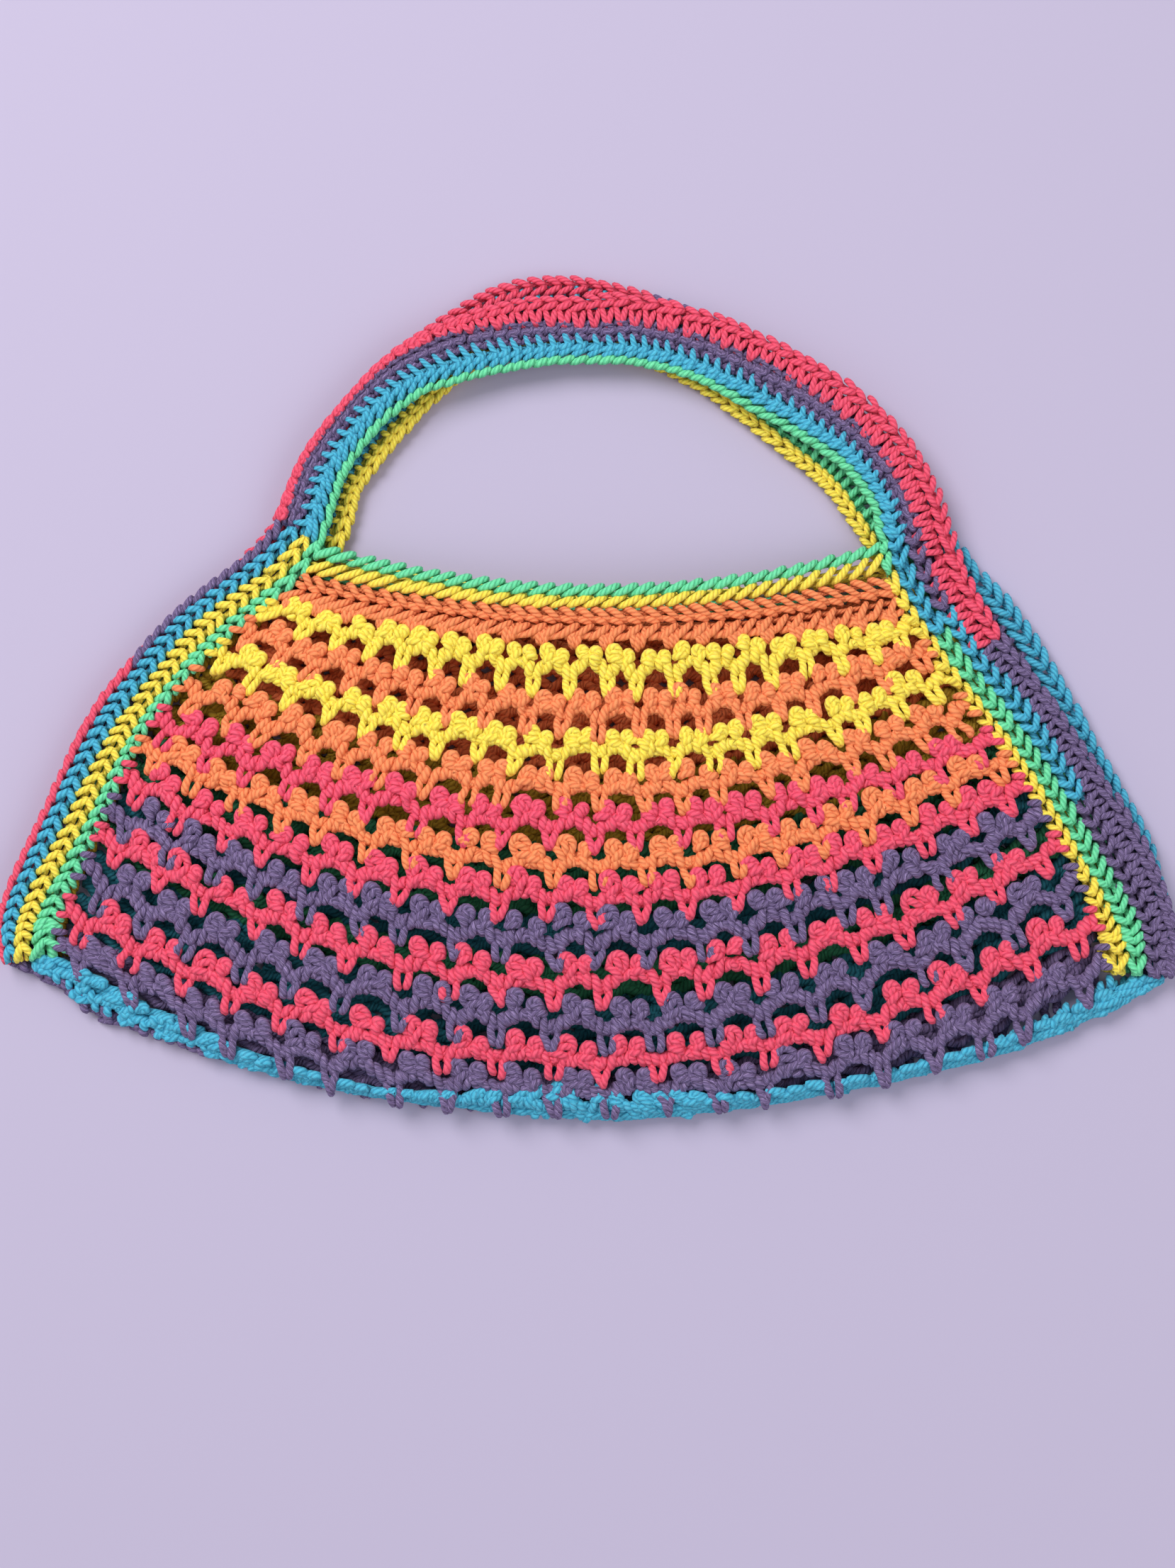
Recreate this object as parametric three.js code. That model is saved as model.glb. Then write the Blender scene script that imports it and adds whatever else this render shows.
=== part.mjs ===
// A striped crochet handbag lying on its back. Two panels of V stitches are joined by a foundation row
// along the bottom fold. Each panel has rows of single crochet along its mouth, and a strap of four
// more rows that climbs both sides and carries on over the mouth as a handle.
// Millimetres, +X to the bag's right, +Y from the bottom fold to the handles, +Z up from the ground.
import * as THREE from 'three';

// Driving dimensions
const bagWidth = 415;
const shoulderHeight = 209; // from the bottom fold to where the handle leaves the side bands
const shoulderSpan = 246; // between the outer edges of the handle at its foot
const mouthShift = 8; // how far the mouth and handles lie to the right of the middle
const mouthHeight = 189; // from the bottom fold to the mouth edge, at the middle
const foundationHeight = 8; // the foundation row, at the middle
const frontHandleRise = 85; // above the shoulders
const backHandleRise = 93;
const strapWidth = 24; // four rows of single crochet
const fabric = 4.6; // thickness of the crochet over a row's crest
const ribDepth = 1; // how far the fabric thins between rows
const pocketDepth = 14; // how far the front panel stands off the back panel
const handleLift = 3; // how far the front handle's arms rise from the one below
const netGapWidth = 5; // gaps beside the V stitches
const netGapsPerRow = 5;
const netGapReach = 0.5; // share of a row's height that a gap takes
const handleSections = 24;
const clearance = 0.3; // between neighbouring pieces

const frontLevel = fabric + clearance;

const colours = {
  purple: 0x5f5078,
  pink: 0xf0556e,
  orange: 0xf08755,
  yellow: 0xebd741,
  mint: 0x5fd796,
  turquoise: 0x41afcd,
};

// The strap's outer edge, from the lower left corner over the handle to the lower right corner.
// In a band, out is the share of the way from shoulder to corner, and up the share of shoulderHeight.
// In a handle, across is the share of half of shoulderSpan, up the share of the handle's rise, and lift
// the share of handleLift. Width is a share of strapWidth.
const straps = {
  front: {
    rise: frontHandleRise,
    left: [
      { out: 0.98, up: 0.27, width: 0.87 },
      { out: 1, up: 0.345, width: 0.88 },
      { out: 0.826, up: 0.539, width: 0.88 },
      { out: 0.661, up: 0.693, width: 0.87 },
      { out: 0.501, up: 0.789, width: 0.84 },
      { out: 0.343, up: 0.865, width: 0.83 },
      { out: 0.155, up: 0.933, width: 0.81 },
      { out: 0.021, up: 0.982, width: 0.81 },
    ],
    handle: [
      { across: -0.963, up: 0.061, width: 0.79, lift: 0 },
      { across: -0.888, up: 0.312, width: 0.71, lift: 0.3 },
      { across: -0.77, up: 0.538, width: 0.66, lift: 0.5 },
      { across: -0.638, up: 0.737, width: 0.75, lift: 0.5 },
      { across: -0.499, up: 0.866, width: 0.91, lift: 0.3 },
      { across: -0.3, up: 0.97, width: 1.01, lift: 0 },
      { across: -0.067, up: 1, width: 1.01, lift: 0 },
      { across: 0.13, up: 0.989, width: 1.03, lift: 0 },
      { across: 0.317, up: 0.914, width: 1.03, lift: 0.3 },
      { across: 0.49, up: 0.794, width: 1.1, lift: 0.7 },
      { across: 0.682, up: 0.636, width: 1.11, lift: 1 },
      { across: 0.826, up: 0.455, width: 1.04, lift: 0.8 },
      { across: 0.928, up: 0.249, width: 1.02, lift: 0.4 },
      { across: 0.982, up: 0.058, width: 1.1, lift: 0 },
    ],
    right: [
      { out: 0.027, up: 0.96, width: 1.16 },
      { out: 0.192, up: 0.837, width: 1.04 },
      { out: 0.416, up: 0.726, width: 1.02 },
      { out: 0.644, up: 0.603, width: 1.05 },
      { out: 0.866, up: 0.47, width: 1.11 },
      { out: 1, up: 0.33, width: 1.09 },
      { out: 0.985, up: 0.245, width: 0.95 },
    ],
  },
  back: {
    rise: backHandleRise,
    left: [
      { out: 0.97, up: 0.27, width: 0.9 },
      { out: 0.99, up: 0.345, width: 0.9 },
      { out: 0.82, up: 0.54, width: 0.88 },
      { out: 0.66, up: 0.695, width: 0.86 },
      { out: 0.5, up: 0.787, width: 0.88 },
      { out: 0.34, up: 0.862, width: 0.88 },
      { out: 0.15, up: 0.927, width: 0.88 },
      { out: 0.03, up: 0.982, width: 1.02 },
    ],
    handle: [
      { across: -0.97, up: 0.06, width: 1.17, lift: 0 },
      { across: -0.885, up: 0.29, width: 1.1, lift: 0 },
      { across: -0.76, up: 0.5, width: 1.12, lift: 0 },
      { across: -0.63, up: 0.68, width: 1.12, lift: 0 },
      { across: -0.5, up: 0.83, width: 1.16, lift: 0 },
      { across: -0.32, up: 0.965, width: 1.25, lift: 0 },
      { across: -0.13, up: 1, width: 1.3, lift: 0 },
      { across: 0.06, up: 0.96, width: 1.3, lift: 0 },
      { across: 0.25, up: 0.87, width: 1.28, lift: 0 },
      { across: 0.42, up: 0.76, width: 1.28, lift: 0 },
      { across: 0.6, up: 0.6, width: 1.28, lift: 0 },
      { across: 0.78, up: 0.42, width: 1.28, lift: 0 },
      { across: 0.91, up: 0.2, width: 1.25, lift: 0 },
      { across: 0.98, up: 0.05, width: 1.25, lift: 0 },
    ],
    right: [
      { out: 0.07, up: 0.965, width: 1.22 },
      { out: 0.31, up: 0.865, width: 1.24 },
      { out: 0.51, up: 0.745, width: 1.2 },
      { out: 0.7, up: 0.615, width: 1.1 },
      { out: 0.9, up: 0.48, width: 1.08 },
      { out: 0.99, up: 0.335, width: 1.06 },
      { out: 0.975, up: 0.25, width: 1.03 },
    ],
  },
};

// Rows of the strap from its inner to its outer edge. Each ends at a share of the strap's width.
const strapRows = {
  front: {
    left: [
      { to: 0.2, colour: 'mint' },
      { to: 0.54, colour: 'yellow' },
      { to: 0.85, colour: 'turquoise' },
      { to: 1, colour: 'purple' },
    ],
    handle: [
      { to: 0.14, colour: 'mint' },
      { to: 0.38, colour: 'turquoise' },
      { to: 0.68, colour: 'purple' },
      { to: 1, colour: 'pink' },
    ],
    right: [
      { to: 0.17, colour: 'yellow' },
      { to: 0.42, colour: 'mint' },
      { to: 0.7, colour: 'turquoise' },
      { to: 1, colour: 'purple' },
    ],
  },
  back: {
    left: [
      { to: 0.22, colour: 'yellow' },
      { to: 0.5, colour: 'mint' },
      { to: 0.75, colour: 'purple' },
      { to: 1, colour: 'turquoise' },
    ],
    handle: [
      { to: 0.22, colour: 'yellow' },
      { to: 0.5, colour: 'mint' },
      { to: 0.75, colour: 'purple' },
      { to: 1, colour: 'pink' },
    ],
    right: [
      { to: 0.22, colour: 'yellow' },
      { to: 0.5, colour: 'mint' },
      { to: 0.75, colour: 'purple' },
      { to: 1, colour: 'turquoise' },
    ],
  },
};

// Rows of a panel from the bottom up. Each ends at a height at the middle, a share of mouthHeight, and
// at a share of each side edge. Swell is the share of pocketDepth that the front has there.
const foot = { swell: 0.12, left: 0, right: 0 };
const panelRows = [
  { name: 'row_01', front: 'purple', back: 'purple', top: 0.095, left: 0.1, right: 0.1, swell: 0.3 },
  { name: 'row_02', front: 'pink', back: 'turquoise', top: 0.155, left: 0.19, right: 0.21, swell: 0.5 },
  { name: 'row_03', front: 'purple', back: 'turquoise', top: 0.235, left: 0.28, right: 0.325, swell: 0.65 },
  { name: 'row_04', front: 'pink', back: 'mint', top: 0.31, left: 0.33, right: 0.395, swell: 0.8 },
  { name: 'row_05', front: 'purple', back: 'turquoise', top: 0.388, left: 0.39, right: 0.465, swell: 0.92 },
  { name: 'row_06', front: 'pink', back: 'mint', top: 0.455, left: 0.465, right: 0.525, swell: 1 },
  { name: 'row_07', front: 'orange', back: 'mint', top: 0.522, left: 0.525, right: 0.575, swell: 1 },
  { name: 'row_08', front: 'pink', back: 'yellow', top: 0.593, left: 0.61, right: 0.64, swell: 0.98 },
  { name: 'row_09', front: 'orange', back: 'yellow', top: 0.657, left: 0.72, right: 0.725, swell: 0.94 },
  { name: 'row_10', front: 'yellow', back: 'orange', top: 0.728, left: 0.795, right: 0.775, swell: 0.9 },
  { name: 'row_11', front: 'orange', back: 'orange', top: 0.803, left: 0.86, right: 0.82, swell: 0.84 },
  { name: 'row_12', front: 'yellow', back: 'pink', top: 0.898, left: 0.905, right: 0.865, swell: 0.78 },
];
const mouthRows = [
  { name: 'mouth_orange', front: 'orange', back: 'orange', top: 0.957, left: 0.955, right: 0.94, swell: 0.72 },
  { name: 'mouth_yellow', front: 'yellow', back: 'mint', top: 0.978, left: 0.978, right: 0.97, swell: 0.7 },
  { name: 'mouth_mint', front: 'mint', back: 'yellow', top: 1, left: 1, right: 1, swell: 0.68 },
];

// The bottom fold from corner to corner: across is the share of half of bagWidth, and up the share of
// shoulderHeight. It starts and ends at the ends of the side bands.
const fold = [
  { across: -0.925, up: 0.237 },
  { across: -0.853, up: 0.187 },
  { across: -0.71, up: 0.134 },
  { across: -0.49, up: 0.072 },
  { across: -0.2, up: 0.021 },
  { across: 0.05, up: 0 },
  { across: 0.3, up: 0.03 },
  { across: 0.59, up: 0.088 },
  { across: 0.81, up: 0.153 },
  { across: 0.93, up: 0.209 },
];
const foldCrown = 0.5; // share of the foundation row's height that is flat above and below
const foldEdge = { low: 0.3, high: 0.65 }; // the rounded edge, as shares of its thickness

const bag = new THREE.Group();

function addPiece(name, colour, geometry) {
  const material = new THREE.MeshStandardMaterial({ color: colours[colour], roughness: 0.9, metalness: 0 });
  const mesh = new THREE.Mesh(geometry, material);
  mesh.name = name;
  bag.add(mesh);
}

// A closed solid between an upper and a lower grid of points, open where isGap says so
function slab(upper, lower, isGap = () => false) {
  const rows = upper.length - 1;
  const columns = upper[0].length - 1;
  const top = (i, j) => i * (columns + 1) + j;
  const bottom = (i, j) => top(i, j) + (rows + 1) * (columns + 1);
  const solid = (i, j) => i >= 0 && j >= 0 && i < rows && j < columns && !isGap(i, j);
  const index = [];
  const quad = (a, b, c, d) => index.push(a, b, c, a, c, d);
  for (let i = 0; i < rows; i++) {
    for (let j = 0; j < columns; j++) {
      if (!solid(i, j)) continue;
      quad(top(i, j), top(i, j + 1), top(i + 1, j + 1), top(i + 1, j));
      quad(bottom(i, j), bottom(i + 1, j), bottom(i + 1, j + 1), bottom(i, j + 1));
      if (!solid(i - 1, j)) quad(bottom(i, j), bottom(i, j + 1), top(i, j + 1), top(i, j));
      if (!solid(i + 1, j)) quad(top(i + 1, j), top(i + 1, j + 1), bottom(i + 1, j + 1), bottom(i + 1, j));
      if (!solid(i, j - 1)) quad(top(i, j), top(i + 1, j), bottom(i + 1, j), bottom(i, j));
      if (!solid(i, j + 1)) quad(bottom(i, j + 1), bottom(i + 1, j + 1), top(i + 1, j + 1), top(i, j + 1));
    }
  }
  const positions = [...upper, ...lower].flat().flatMap((point) => point.toArray());
  const geometry = new THREE.BufferGeometry();
  geometry.setAttribute('position', new THREE.Float32BufferAttribute(positions, 3));
  geometry.setIndex(index);
  geometry.computeVertexNormals();
  return geometry;
}

// The strap of one side as a curve along its outer edge, with the share of its length at each corner of
// the mouth, and a function that gives the outer and inner point of a section
function makeStrap(side) {
  const { rise, left, handle, right } = straps[side];
  const shoulder = shoulderSpan / 2;
  const bandPoint = (sign) => ({ out, up, width }) => ({
    x: THREE.MathUtils.lerp(mouthShift + sign * shoulder, sign * bagWidth / 2, out),
    y: up * shoulderHeight,
    width: width * strapWidth,
    lift: 0,
  });
  const handlePoint = ({ across, up, width, lift }) => ({
    x: mouthShift + across * shoulder,
    y: shoulderHeight + up * rise,
    width: width * strapWidth,
    lift: lift * handleLift,
  });
  const stations = [...left.map(bandPoint(-1)), ...handle.map(handlePoint), ...right.map(bandPoint(1))];
  const edge = new THREE.CatmullRomCurve3(stations.map(({ x, y }) => new THREE.Vector3(x, y, 0)));
  const sizes = new THREE.CatmullRomCurve3(stations.map(({ width, lift }) => new THREE.Vector3(width, lift, 0)));
  const steps = edge.arcLengthDivisions;
  const lengths = edge.getLengths(steps);
  const shareAt = (station) => lengths[Math.round(station / (stations.length - 1) * steps)] / lengths[steps];

  function section(share) {
    const outer = edge.getPointAt(share);
    const along = edge.getTangentAt(share);
    const inward = new THREE.Vector3(along.y, -along.x, 0);
    const size = sizes.getPoint(edge.getUtoTmapping(share));
    const inner = outer.clone().addScaledVector(inward, size.x);
    return { outer, inner, lift: size.y };
  }
  return {
    length: lengths[steps],
    leftCorner: shareAt(left.length),
    rightCorner: shareAt(left.length + handle.length - 1),
    section,
  };
}

// One stretch of the strap, a ribbed strip for each of its rows
function addStretch(side, stretch, strap, shares) {
  const level = side === 'front' ? frontLevel : 0;
  const sections = shares.map((share) => strap.section(share));
  let from = 0;
  for (const row of strapRows[side][stretch]) {
    const upper = [];
    const lower = [];
    const lines = [
      { share: from, inset: clearance / 2, thickness: fabric - ribDepth },
      { share: (from + row.to) / 2, inset: 0, thickness: fabric },
      { share: row.to, inset: -clearance / 2, thickness: fabric - ribDepth },
    ];
    for (const { share, inset, thickness } of lines) {
      const points = sections.map(({ inner, outer, lift }) => {
        const across = outer.clone().sub(inner);
        const point = inner.clone().addScaledVector(across, share + inset / across.length());
        return point.setZ(level + lift);
      });
      lower.push(points);
      upper.push(points.map((point) => point.clone().setZ(point.z + thickness)));
    }
    addPiece(`${side}_${stretch}_${row.colour}`, row.colour, slab(upper, lower));
    from = row.to;
  }
}

// The line between two rows of a panel: a smile through the strap's inner edges and the height at the middle
function rowLine(strap, edge, height) {
  const left = strap.section(edge.left * strap.leftCorner).inner;
  const right = strap.section(1 - edge.right * (1 - strap.rightCorner)).inner;
  const end = clearance / left.distanceTo(right);
  return (share) => {
    const u = THREE.MathUtils.lerp(end, 1 - end, share);
    const y = left.y * (1 - u) * (1 - 2 * u) + height * 4 * u * (1 - u) + right.y * u * (2 * u - 1);
    return new THREE.Vector3(THREE.MathUtils.lerp(left.x, right.x, u), y, 0);
  };
}

const swellAcross = (share) => 4 * share * (1 - share);

// Column lines of a panel: each pitch is a solid stretch, a gap and a solid stretch
function columnLines(width) {
  const half = netGapWidth / width / 2;
  const lines = [0];
  for (let k = 0; k < netGapsPerRow; k++) {
    const middle = (k + 0.5) / netGapsPerRow;
    lines.push(middle - half, middle + half, (k + 1) / netGapsPerRow);
  }
  return lines;
}

// One row of a panel between two row lines, cut through beside its stitches where it is a net
function addRow(side, row, below, above, columns, isNet) {
  const upper = [];
  const lower = [];
  const lines = [
    { at: 0, shift: clearance / 2, thickness: fabric - ribDepth },
    { at: netGapReach, shift: 0, thickness: fabric },
    { at: 1, shift: -clearance / 2, thickness: fabric - ribDepth },
  ];
  for (const { at, shift, thickness } of lines) {
    const points = columns.map((share) => {
      const point = below.line(share).lerp(above.line(share), at);
      const swell = THREE.MathUtils.lerp(below.swell, above.swell, at) * swellAcross(share) * pocketDepth;
      return point.set(point.x, point.y + shift, side === 'front' ? frontLevel + swell : 0);
    });
    lower.push(points);
    upper.push(points.map((point) => point.clone().setZ(point.z + thickness)));
  }
  const isGap = (i, j) => isNet && i === 0 && j % 3 === 1;
  addPiece(`${side}_${row.name}`, row[side], slab(upper, lower, isGap));
}

function addSide(side) {
  const strap = makeStrap(side);
  const footLine = { swell: foot.swell, line: rowLine(strap, foot, foundationHeight) };
  const columns = columnLines(footLine.line(0).distanceTo(footLine.line(1)));
  let below = footLine;
  for (const row of [...panelRows, ...mouthRows]) {
    const above = { swell: row.swell, line: rowLine(strap, row, row.top * mouthHeight) };
    addRow(side, row, below, above, columns, panelRows.includes(row));
    below = above;
  }
  const edges = [foot, ...panelRows, ...mouthRows];
  const trim = clearance / 2 / strap.length;
  const leftShares = edges.map(({ left }) => left * strap.leftCorner);
  const rightShares = edges.map(({ right }) => 1 - right * (1 - strap.rightCorner)).reverse();
  leftShares[leftShares.length - 1] -= trim;
  rightShares[0] += trim;
  addStretch(side, 'left', strap, leftShares);
  addStretch(side, 'right', strap, rightShares);
  const handleShares = [];
  for (let k = 0; k <= handleSections; k++) {
    handleShares.push(THREE.MathUtils.lerp(strap.leftCorner + trim, strap.rightCorner - trim, k / handleSections));
  }
  addStretch(side, 'handle', strap, handleShares);
  return { strap, columns, footLine };
}

// The foundation row fills the fold between the two panels, and is rounded along the outside
function addBase({ strap, columns, footLine }) {
  const foldPoints = fold.map(({ across, up }) => new THREE.Vector3(across * bagWidth / 2, up * shoulderHeight, 0));
  const foldCurve = new THREE.CatmullRomCurve3([strap.section(0).outer, ...foldPoints, strap.section(1).outer]);
  const end = clearance / foldCurve.getLength();
  const upper = [[], [], []];
  const lower = [[], [], []];
  for (const share of columns) {
    const inner = footLine.line(share);
    inner.y -= clearance / 2;
    const outer = foldCurve.getPointAt(THREE.MathUtils.lerp(end, 1 - end, share));
    const crown = outer.clone().lerp(inner, foldCrown);
    const top = frontLevel + fabric + footLine.swell * swellAcross(share) * pocketDepth;
    [outer, crown, inner].forEach((point, i) => {
      const edge = i === 0 ? foldEdge : { low: 0, high: 1 };
      upper[i].push(point.clone().setZ(top * edge.high));
      lower[i].push(point.clone().setZ(top * edge.low));
    });
  }
  addPiece('base_row', 'turquoise', slab(upper, lower));
}

addSide('back');
addBase(addSide('front'));

// The origin is on the ground under the middle of the bag
const box = new THREE.Box3().setFromObject(bag);
const centre = box.getCenter(new THREE.Vector3());
bag.position.set(-centre.x, -centre.y, -box.min.z);

export default bag;
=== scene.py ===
"""A striped crochet handbag lying flat, with every stitch modelled as loops of plied yarn."""
import math

import bpy
import numpy as np
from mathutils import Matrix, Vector


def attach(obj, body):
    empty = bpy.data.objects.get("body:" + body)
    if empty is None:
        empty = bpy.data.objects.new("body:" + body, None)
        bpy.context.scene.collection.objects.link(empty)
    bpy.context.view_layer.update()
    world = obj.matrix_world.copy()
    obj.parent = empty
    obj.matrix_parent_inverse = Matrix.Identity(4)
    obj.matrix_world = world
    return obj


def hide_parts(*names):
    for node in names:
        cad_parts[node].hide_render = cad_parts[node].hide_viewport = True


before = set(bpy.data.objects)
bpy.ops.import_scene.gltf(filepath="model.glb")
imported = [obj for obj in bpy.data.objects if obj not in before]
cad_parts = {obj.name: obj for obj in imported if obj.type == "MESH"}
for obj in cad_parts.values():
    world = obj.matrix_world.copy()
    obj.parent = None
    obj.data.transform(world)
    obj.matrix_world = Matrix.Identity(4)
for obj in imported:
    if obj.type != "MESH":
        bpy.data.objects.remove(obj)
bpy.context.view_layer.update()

# Sizes of the solids, in millimetres
BAG_WIDTH = 415
SHOULDER_HEIGHT = 209
SHOULDER_SPAN = 246
MOUTH_SHIFT = 8
MOUTH_HEIGHT = 189
FOUNDATION_HEIGHT = 8
HANDLE_RISE = {"front": 85, "back": 93}
STRAP_WIDTH = 24
FABRIC = 4.6
POCKET_DEPTH = 14
HANDLE_LIFT = 3
CLEARANCE = 0.3
FRONT_LEVEL = FABRIC + CLEARANCE
# The middle of the outline, from the fold's lowest point
MIDDLE = np.array([0.255, 150.943, 0.0])
MM = 0.001
STRAP_STEPS = 24  # steps of the strap's curves between two stations
FOLD_STEPS = 12
FLOOR_GAP = 0.00005  # metres that the lowest points keep over the floor

# The strap's outer edge as in the solids: share of the way out or across, share of the way up,
# width as a share of STRAP_WIDTH, and lift as a share of HANDLE_LIFT. The back handle is drawn a little
# narrower than its solid
STRAPS = {
    "front": {
        "left": [
            (0.98, 0.27, 0.87), (1, 0.345, 0.88), (0.826, 0.539, 0.88), (0.661, 0.693, 0.87),
            (0.501, 0.789, 0.84), (0.343, 0.865, 0.83), (0.155, 0.933, 0.81), (0.021, 0.982, 0.81),
        ],
        "handle": [
            (-0.963, 0.061, 0.79, 0), (-0.888, 0.312, 0.71, 0.3), (-0.77, 0.538, 0.66, 0.5),
            (-0.638, 0.737, 0.75, 0.5), (-0.499, 0.866, 0.91, 0.3), (-0.3, 0.97, 1.01, 0),
            (-0.067, 1, 1.01, 0), (0.13, 0.989, 1.03, 0), (0.317, 0.914, 1.03, 0.3),
            (0.49, 0.794, 1.1, 0.7), (0.682, 0.636, 1.11, 1), (0.826, 0.455, 1.04, 0.8),
            (0.928, 0.249, 1.02, 0.4), (0.982, 0.058, 1.1, 0),
        ],
        "right": [
            (0.027, 0.96, 1.16), (0.192, 0.837, 1.04), (0.416, 0.726, 1.02), (0.644, 0.603, 1.05),
            (0.866, 0.47, 1.11), (1, 0.33, 1.09), (0.985, 0.245, 0.95),
        ],
    },
    "back": {
        "left": [
            (0.97, 0.27, 0.9), (0.99, 0.345, 0.9), (0.82, 0.54, 0.88), (0.66, 0.695, 0.86),
            (0.5, 0.787, 0.88), (0.34, 0.862, 0.88), (0.15, 0.927, 0.88), (0.03, 0.982, 1.02),
        ],
        "handle": [
            (-0.97, 0.06, 1.1, 0), (-0.885, 0.29, 0.96, 0), (-0.76, 0.5, 0.92, 0), (-0.63, 0.68, 0.9, 0),
            (-0.5, 0.83, 0.92, 0), (-0.32, 0.965, 1, 0), (-0.13, 1, 1.04, 0), (0.06, 0.96, 1.04, 0),
            (0.25, 0.87, 1.04, 0), (0.42, 0.76, 1.1, 0), (0.6, 0.6, 1.18, 0), (0.78, 0.42, 1.22, 0),
            (0.91, 0.2, 1.22, 0), (0.98, 0.05, 1.25, 0),
        ],
        "right": [
            (0.07, 0.965, 1.22), (0.31, 0.865, 1.24), (0.51, 0.745, 1.2), (0.7, 0.615, 1.1),
            (0.9, 0.48, 1.08), (0.99, 0.335, 1.06), (0.975, 0.25, 1.03),
        ],
    },
}

# Row lines of a panel from the bottom up: height at the middle as a share of MOUTH_HEIGHT, share of each
# side edge, and share of POCKET_DEPTH
ROW_LINES = [
    (FOUNDATION_HEIGHT / MOUTH_HEIGHT, 0, 0, 0.12),
    (0.095, 0.1, 0.1, 0.3),
    (0.155, 0.19, 0.21, 0.5),
    (0.235, 0.28, 0.325, 0.65),
    (0.31, 0.33, 0.395, 0.8),
    (0.388, 0.39, 0.465, 0.92),
    (0.455, 0.465, 0.525, 1),
    (0.522, 0.525, 0.575, 1),
    (0.593, 0.61, 0.64, 0.98),
    (0.657, 0.72, 0.725, 0.94),
    (0.728, 0.795, 0.775, 0.9),
    (0.803, 0.86, 0.82, 0.84),
    (0.898, 0.905, 0.865, 0.78),
    (0.957, 0.955, 0.94, 0.72),
    (0.978, 0.978, 0.97, 0.7),
    (1, 1, 1, 0.68),
]
COLUMNS = 20
BACK_SHIFT = 0.5  # share of a column between the back's columns and the front's
# How far the first row hangs over the foundation row, in millimetres, by the share across
OVERHANG = np.array([
    (0, 0), (0.05, 1), (0.1, 2), (0.2, 4.6), (0.3, 4.8), (0.4, 1.6), (0.5, 0.8), (0.6, 1.2), (0.7, 1.8),
    (0.8, 4), (0.9, 5.4), (0.95, 4.4), (1, 1),
])

# The rows' colours from the fold up
FRONT_COLOURS = (
    "purple", "pink", "purple", "pink", "purple", "pink", "orange", "pink", "orange", "yellow", "orange",
    "yellow",
)
# The back's colours other than purple are painted shade: darker copies of turquoise, mint, yellow and
# orange, for the back seen in shade through the front's holes
BACK_COLOURS = (
    "purple", "shaded_turquoise", "shaded_turquoise", "shaded_mint", "shaded_turquoise", "shaded_mint", "shaded_mint", "shaded_yellow", "shaded_yellow", "shaded_orange", "shaded_orange", "shaded_orange",
)
NET_ROWS = len(FRONT_COLOURS)
# The fold's outline as in the solids: share of half the width, share of the shoulders' height
FOLD = [
    (-0.925, 0.237), (-0.853, 0.187), (-0.71, 0.134), (-0.49, 0.072), (-0.2, 0.021), (0.05, 0), (0.3, 0.03),
    (0.59, 0.088), (0.81, 0.153), (0.93, 0.209),
]

# Half the yarn's thickness, in millimetres
YARN = 1.2
rng = np.random.default_rng(11)


def linear(colour):
    """A colour given as sRGB bytes, in linear light."""
    shares = [value / 255 for value in colour]
    return tuple(s / 12.92 if s <= 0.04045 else ((s + 0.055) / 1.055) ** 2.4 for s in shares) + (1,)


# Curves
def catmull_rom(points, steps):
    """Points along a centripetal Catmull-Rom curve, the same number of steps in each span."""
    points = np.asarray(points, float)
    ends = [2 * points[0] - points[1]], points, [2 * points[-1] - points[-2]]
    p = np.concatenate(ends)
    rows = []
    t = np.linspace(0, 1, steps, endpoint=False)[:, None]
    for p0, p1, p2, p3 in zip(p, p[1:], p[2:], p[3:]):
        pairs = (p0, p1), (p1, p2), (p2, p3)
        d0, d1, d2 = (math.sqrt(max(np.linalg.norm(b - a), 1e-6)) for a, b in pairs)
        m1 = ((p1 - p0) / d0 - (p2 - p0) / (d0 + d1) + (p2 - p1) / d1) * d1
        m2 = ((p2 - p1) / d1 - (p3 - p1) / (d1 + d2) + (p3 - p2) / d2) * d1
        c2 = -3 * p1 + 3 * p2 - 2 * m1 - m2
        c3 = 2 * p1 - 2 * p2 + m1 + m2
        rows.append(p1 + m1 * t + c2 * t**2 + c3 * t**3)
    rows.append(points[-1:])
    return np.concatenate(rows)


def lengths_along(points):
    """How far each point is along the line through them all."""
    return np.concatenate([[0], np.cumsum(np.linalg.norm(np.diff(points, axis=0), axis=1))])


def table(x, xs, ys):
    """Interpolates each column of ys."""
    return np.stack([np.interp(x, xs, column) for column in np.asarray(ys).T], axis=-1)


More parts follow.
